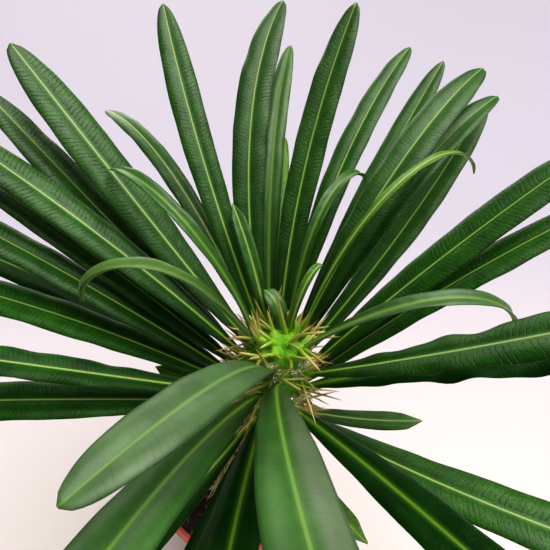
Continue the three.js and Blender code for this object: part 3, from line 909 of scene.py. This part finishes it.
def add_spine(bundle, root, direction, length, age, tone, stout=1):
    """A stout round spine, a little curved, that tapers to a sharp point."""
    t = np.array([0, 0.05, 0.12, 0.3, 0.55, 0.78, 0.92, 1.0])
    start = root - direction * SPINE_SUNK
    sag = np.array([0, 0, -0.35])
    centres = start + direction * (length + SPINE_SUNK) * t[:, None] + sag * (t ** 2)[:, None]
    radii = stout * SPINE_RADIUS * np.array([1.75, 1.40, 1.08, 0.84, 0.68, 0.46, 0.25, 0.04])
    bundle.add_tube(t, centres, direction, radii, SPINE_SIDES, age, tone)


def add_felt(bundle, root, direction, age, random):
    """A tuft of short woolly hairs at the root of a spine, thinner on the old stem."""
    for _ in range(OLD_WOOL_HAIRS if age > 0.9 else WOOL_HAIRS):
        start = root + direction * random.uniform(0, 2.4) + random.normal(0, 0.8, 3)
        way = direction + random.normal(0, 0.75, 3)
        way /= np.linalg.norm(way)
        curl = random.normal(0, 0.8, 3)
        length = random.uniform(1.8, 4.6)
        t = np.array([0, 0.4, 0.75, 1.0])
        centres = start + way * length * t[:, None] + curl * (t ** 2)[:, None]
        bundle.add_tube(t, centres, way, [0.32, 0.28, 0.20, 0.03], 3, age, random.uniform(0, 1))


def add_scrap(bundle, root, turn, random):
    """A dry curled flake of an old leaf's foot or of wool, hanging by a tubercle."""
    way = heading(turn + random.uniform(-60, 60), random.uniform(-80, -5))
    side = np.cross(way, random.normal(0, 1, 3))
    side /= np.linalg.norm(side)
    up = np.cross(side, way)
    length = random.uniform(4, 10)
    width = random.uniform(0.8, 2.0)
    curl = random.uniform(-0.45, 0.45)
    t = np.linspace(0, 1, 7)
    centres = root + way * (length * t)[:, None] + up * (curl * length * t ** 2)[:, None]
    half = width * np.sin(np.pi * (0.12 + 0.8 * t)) * random.uniform(0.7, 1.15, 7)
    roll = np.array([(-1, 0.30), (0, 0), (1, 0.35), (1, 0.20), (0, -0.16), (-1, 0.14)])
    points = centres[:, None] + side * (half[:, None] * roll[:, 0])[..., None]
    points = (points + up * (half[:, None] * roll[:, 1])[..., None]).reshape(-1, 3)
    bundle.add(points, ring_faces(len(t), len(roll)), (random.uniform(0, 1), 0, 0))


def make_stem():
    """The skin of the stem, its spines, and the wool and dry flakes at their roots."""
    rows = tubercles()
    numbers = make_random(SEED)
    random = np.random.default_rng(SEED)
    clearance = LeafClearance()
    spines, felt, scraps = Bundle(), Bundle(), Bundle()
    for turn, depth, _, lean, _, age in rows:
        root = leaf_base(turn, depth) + heading(turn, 0) * -SEAT_INWARD - [0, 0, SEAT_DOWN]
        green = age - 0.6 * (1 - smooth(8, 40, depth))
        stout = GREEN_STOUT if green < 0 else 1
        for start, direction, length in spine_trio(root, turn, lean, numbers, clearance):
            add_spine(spines, start, direction, length, green, random.uniform(0, 1), stout)
            if depth > WOOL_FROM:
                add_felt(felt, start + direction * WOOL_OUT, direction, age, random)
        for _ in range(EXTRA_SPINES if depth > EXTRA_FROM else 0):
            aside = turn + random.uniform(-EXTRA_SPREAD, EXTRA_SPREAD)
            rise = lean + random.uniform(*EXTRA_RISE)
            length = random.uniform(SPINE_SHORT, SPINE_LONG)
            spine = clear_way(root, aside, rise, length, clearance, EXTRA_SLACK)
            if spine:
                add_spine(spines, *spine, green, random.uniform(0, 1), EXTRA_STOUT)
        if depth > SCRAPS_FROM and random.uniform(0, 1) < SCRAP_CHANCE:
            add_scrap(scraps, root, turn, random)
    for foot, way in dome_knobs():
        turn = math.degrees(math.atan2(way[1], way[0]))
        steep = math.degrees(math.asin(way[2]))
        for spread, lift in TIP_SPREADS:
            aside = turn + spread + random.uniform(-9, 9)
            direction = heading(aside, min(70, steep * 0.6 + lift + random.uniform(0, 16)))
            length = random.uniform(*TIP_LENGTHS)
            root = foot + way * 2.4
            if not clearance.touches(root + direction * 3, direction, length - 3, EXTRA_SLACK):
                add_spine(spines, root, direction, length, -1, random.uniform(0, 1), TIP_STOUT)
    skin = make_stem_skin(rows, stem_material())
    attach(skin, "root")
    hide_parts("stem")
    for piece in (
        spines.build("stem_spines", spine_material(), "spine_place"),
        felt.build("stem_felt", felt_material(), "felt_place"),
        scraps.build("stem_scraps", scrap_material(), "scrap_place"),
    ):
        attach(piece, "root")


# ---- pot and soil ----

def pot_inner(z):
    """Radius of the pot's inner wall at a height."""
    rise = (POT_RIM_RADIUS - RIM_BAND_STEP - POT_FOOT_RADIUS) * z / POT_HEIGHT
    return POT_FOOT_RADIUS + rise - POT_WALL


def circle(radius, z, sides):
    """Points on a level circle about Z."""
    angle = 2 * np.pi * np.arange(sides) / sides
    return np.stack([radius * np.cos(angle), radius * np.sin(angle), z + 0 * angle], -1)


def revolve(profile, sides):
    """Points and faces of a profile turned about Z. It starts and ends on the axis."""
    inner = profile[1:-1]
    rings = [circle(radius, z, sides) for radius, z in inner]
    points = np.vstack([(0, 0, profile[0][1]), *rings, (0, 0, profile[-1][1])])
    last = len(points) - 1
    faces = []
    for j in range(sides):
        k = (j + 1) % sides
        faces.append((0, 1 + k, 1 + j))
        for i in range(len(inner) - 1):
            a, b = 1 + i * sides + j, 1 + i * sides + k
            faces.append((a, b, b + sides, a + sides))
        top = 1 + (len(inner) - 1) * sides
        faces.append((top + j, top + k, last))
    return points, faces


def rounded(corner, radius_in, radius_out, start, end, steps=4):
    """Points on an arc round a corner between two angles in degrees."""
    angles = np.radians(np.linspace(start, end, steps + 1))
    return [(corner[0] + radius_in * math.cos(a), corner[1] + radius_out * math.sin(a)) for a in angles]


def make_pot():
    """The pot, with a rolled rim over its band and drain holes through its foot."""
    band = POT_HEIGHT - RIM_BAND_HEIGHT
    profile = [(0, 0), (POT_FOOT_RADIUS - 8, 0), (POT_FOOT_RADIUS - 2.5, 0)]
    profile += rounded((POT_FOOT_RADIUS - 2.4, 2.4), 2.4, 2.4, -80, 0)
    profile += [(pot_inner(z) + POT_WALL, z) for z in np.linspace(6, band - 1, 12)]
    profile += rounded((POT_RIM_RADIUS - 1.6, band + 0.6), 0.7, 0.6, -90, 0)
    profile += [(POT_RIM_RADIUS - 0.5, band + 5), (POT_RIM_RADIUS, POT_HEIGHT - 2)]
    profile += rounded((POT_RIM_RADIUS - RIM_LIP / 2, POT_HEIGHT - 1.4), RIM_LIP / 2, 1.4, 0, 180, 10)
    profile += [(POT_RIM_RADIUS - RIM_LIP - 0.1, band + 8), (pot_inner(band + 3), band + 3)]
    profile += [(pot_inner(z), z) for z in np.linspace(band - 2, POT_FLOOR + 2, 8)]
    profile += [(pot_inner(POT_FLOOR) - 1.5, POT_FLOOR), (POT_FOOT_RADIUS - 12, POT_FLOOR), (0, POT_FLOOR)]
    points, faces = revolve(profile, 160)
    pot = make_object("pot_shell", points, faces, pot_material())
    for k in range(DRAIN_COUNT):
        angle = 2 * math.pi * (k + 0.5) / DRAIN_COUNT
        centre = np.array([DRAIN_CIRCLE * math.cos(angle), DRAIN_CIRCLE * math.sin(angle), 0])
        ends = [centre - [0, 0, 5], centre + [0, 0, 8]]
        points, faces = tube(ends, [[0, 0, 1], [0, 0, 1]], [DRAIN_RADIUS] * 2, 32)
        cutter = make_object("drain_cutter", points, faces, pot.data.materials[0])
        cut = pot.modifiers.new("drain", "BOOLEAN")
        cut.operation = "DIFFERENCE"
        cut.solver = "EXACT"
        cut.object = cutter
        apply_modifiers(pot)
        bpy.data.objects.remove(cutter)
    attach(pot, "root")
    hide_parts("pot")
    pot.data.set_sharp_from_angle(angle=math.radians(40))


def soil_height(x, y):
    """Height of the soil's uneven top."""
    r = np.hypot(x, y)
    mound = SOIL_MOUND * (1 - smooth(POT_RIM_RADIUS * 0.42, POT_RIM_RADIUS * 0.85, r))
    lumps = 0.7 * np.sin(x / 5.1 + 1) * np.sin(y / 6.3)
    lumps = lumps + 0.5 * np.sin((x + y) / 3.2) * np.sin((x - y) / 3.9 + 2)
    level = smooth(COLLAR_RADIUS + 1, COLLAR_RADIUS + 7, r) * (1 - smooth(62, 68, r))
    return SOIL_TOP + mound + lumps * level - 0.4


def make_soil():
    """The soil's uneven top, its wall and floor, and the plain hole for the root."""
    sides = 144
    hole = COLLAR_RADIUS + 2 * GAP
    edge = pot_inner(SOIL_TOP - 2) - GAP - 0.1
    top = np.vstack([circle(radius, 0, sides) for radius in (hole, *np.linspace(hole + 1, edge, 44))])
    top[:, 2] = soil_height(top[:, 0], top[:, 1])
    walls = [(pot_inner(z) - GAP - 0.1, z) for z in (SOIL_TOP - 12, 60, POT_FLOOR + GAP)]
    socket = [(ROOT_TIP_RADIUS + 2 * GAP, SOIL_TOP - ROOT_DEPTH - GAP), (17, SOIL_TOP - ROOT_DEPTH / 2)]
    points = np.vstack([top, *(circle(radius, z, sides) for radius, z in walls + socket)])
    start = len(top) // sides + len(walls)
    rings = [(i, i + 1) for i in range(start - 1)] + [(start, start + 1), (start + 1, 0)]
    faces = []
    for low, high in rings:
        for j in range(sides):
            k = (j + 1) % sides
            faces.append((low * sides + j, high * sides + j, high * sides + k, low * sides + k))
    faces.append(tuple((start - 1) * sides + j for j in range(sides))[::-1])
    faces.append(tuple(start * sides + j for j in range(sides)))
    soil = make_object("soil_body", points, faces, soil_material())
    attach(soil, "root")
    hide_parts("soil")


def make_crumbs():
    """Loose crumbs of peat, bark and grit on the soil."""
    random = np.random.default_rng(SEED + 1)
    shape = np.array([
        (1, 0, 0), (-1, 0, 0), (0, 1, 0), (0, -1, 0), (0, 0, 1), (0, 0, -1),
        (0.6, 0.6, 0.6), (-0.6, 0.6, 0.6), (0.6, -0.6, 0.6), (-0.6, -0.6, 0.6),
    ])
    faces = [
        (4, 8, 6), (4, 6, 7), (4, 7, 9), (4, 9, 8), (0, 6, 8), (2, 7, 6), (1, 9, 7), (3, 8, 9),
        (0, 2, 6), (2, 1, 7), (1, 3, 9), (3, 0, 8), (5, 2, 0), (5, 1, 2), (5, 3, 1), (5, 0, 3),
    ]
    crumbs = Bundle()
    for _ in range(CRUMBS):
        radius = math.sqrt(random.uniform((COLLAR_RADIUS + 2) ** 2, CRUMBS_REACH ** 2))
        angle = random.uniform(0, 2 * math.pi)
        x, y = radius * math.cos(angle), radius * math.sin(angle)
        size = random.uniform(0.35, 1.1) ** 1.5 * 1.5
        stretch = random.uniform(0.5, 1.5, 3) * [1, 1, 0.7]
        turn = random.uniform(0, 2 * math.pi)
        cosine, sine = math.cos(turn), math.sin(turn)
        spin = np.array([(cosine, -sine, 0), (sine, cosine, 0), (0, 0, 1)])
        jitter = shape * random.uniform(0.75, 1.2, (len(shape), 1))
        points = (jitter * stretch * size) @ spin.T
        points += [x, y, float(soil_height(np.array(x), np.array(y))) + size * 0.25]
        crumbs.add(points, faces, (random.uniform(0, 1), random.uniform(0, 1), 0))
    piece = crumbs.build("soil_crumbs", crumb_material(), "crumb_place", flat=True)
    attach(piece, "root")


# ---- stage ----

FLOOR_HALF = 4000
FLOOR_DROP = 0.05
FOCAL_PIXELS = 413
FRAME_PIXELS = 550
SENSOR = 36

# Worked out beforehand, so that the tip of the stem is 225 mm deep in the view
CAMERA_PITCH = 45
CAMERA_PLACE = (40.73, -160.29, 566.91)


def make_stage():
    """A wide floor just under the pot, and the camera."""
    corners = [(FLOOR_HALF * x, FLOOR_HALF * y, -FLOOR_DROP) for x, y in ((-1, -1), (1, -1), (1, 1), (-1, 1))]
    floor = make_object("floor", corners, [(0, 1, 2, 3)], floor_material())

    camera = bpy.data.objects.new("camera", bpy.data.cameras.new("camera"))
    camera.data.sensor_width = SENSOR
    camera.data.lens = SENSOR * FOCAL_PIXELS / FRAME_PIXELS
    camera.data.clip_start = 0.005
    camera.location = [v * MM for v in CAMERA_PLACE]
    camera.rotation_euler = (math.radians(CAMERA_PITCH), 0, 0)
    bpy.context.scene.collection.objects.link(camera)
    bpy.context.scene.camera = camera


# The room's own glow, and its bright panes: direction, the cosines at which a
# pane fades out and is full, and its strength.
ROOM_GLOW = 0.04
PANES = [
    ((0.0, 0.30, 0.954), 0.0, 1.0, 0.08),
    ((0.30, 0.15, 0.942), 0.80, 0.95, 4.2),
    ((-0.25, 0.96, 0.12), 0.86, 0.98, 2.5),
]
ROOM_TINT = (1.0, 0.985, 0.86)

# The pale wall that is seen in place of the room itself
WALL_GLOW = 0.78
WALL_TINT = (1.0, 0.95, 0.98)

# The soft lamp overhead, in metres and watts
LAMP_PLACE = (0.9, 0.2, 2.4)
LAMP_AIM = (0, 0, 0.2)
LAMP_SIZE = 1.2
LAMP_POWER = 6
LAMP_COLOR = (1.0, 0.99, 0.88)


def make_lamp():
    """One soft disk overhead, turned to the plant."""
    lamp = bpy.data.lights.new("overhead", "AREA")
    lamp.shape = "DISK"
    lamp.size = LAMP_SIZE
    lamp.energy = LAMP_POWER
    lamp.color = LAMP_COLOR
    light = bpy.data.objects.new("overhead", lamp)
    bpy.context.scene.collection.objects.link(light)
    light.location = LAMP_PLACE
    way = np.array(LAMP_AIM, float) - np.array(LAMP_PLACE, float)
    tip_over = math.acos(-way[2] / np.linalg.norm(way))
    light.rotation_euler = (tip_over, 0, math.atan2(way[1], way[0]) - math.pi / 2)


def make_room():
    """A dim room with bright panes, overhead and low behind the plant, and a pale wall."""
    n = Nodes("room", "worlds", "Background")
    direction = n.new("ShaderNodeTexCoord").outputs["Generated"]
    glow = ROOM_GLOW
    for way, wide, full, strength in PANES:
        facing = n.new("ShaderNodeVectorMath", {0: direction, 1: way}, operation="DOT_PRODUCT")
        glow = n.math("ADD", n.ease(facing.outputs["Value"], wide, full, 0.0, strength), glow)
    seen = n.new("ShaderNodeLightPath").outputs["Is Camera Ray"]
    strength = n.new("ShaderNodeMix", {0: seen, 2: glow, 3: WALL_GLOW}).outputs[0]
    n.put(strength, n.shader.inputs["Strength"])
    n.put(n.mix(seen, ROOM_TINT, WALL_TINT), n.shader.inputs["Color"])
    bpy.context.scene.world = n.owner
    bpy.context.scene.view_settings.view_transform = "Standard"
    bpy.context.scene.view_settings.look = "Medium High Contrast"


# ---- assembly ----

make_stage()
make_room()
make_lamp()
make_pot()
make_soil()
make_crumbs()
make_stem()
# The second leaf skin, with less shine, is a painted-shade copy for leaves in deep shade.
skins = leaf_material("leaf_skin", LEAF_SHINE), leaf_material("leaf_skin_dull", DEEP_SHADE_SHINE)
leaf_random = np.random.default_rng(SEED + 2)
for place, row in enumerate(LEAVES, start=1):
    make_leaf(place, row, skins[place in DEEP_SHADE_LEAVES], leaf_random)
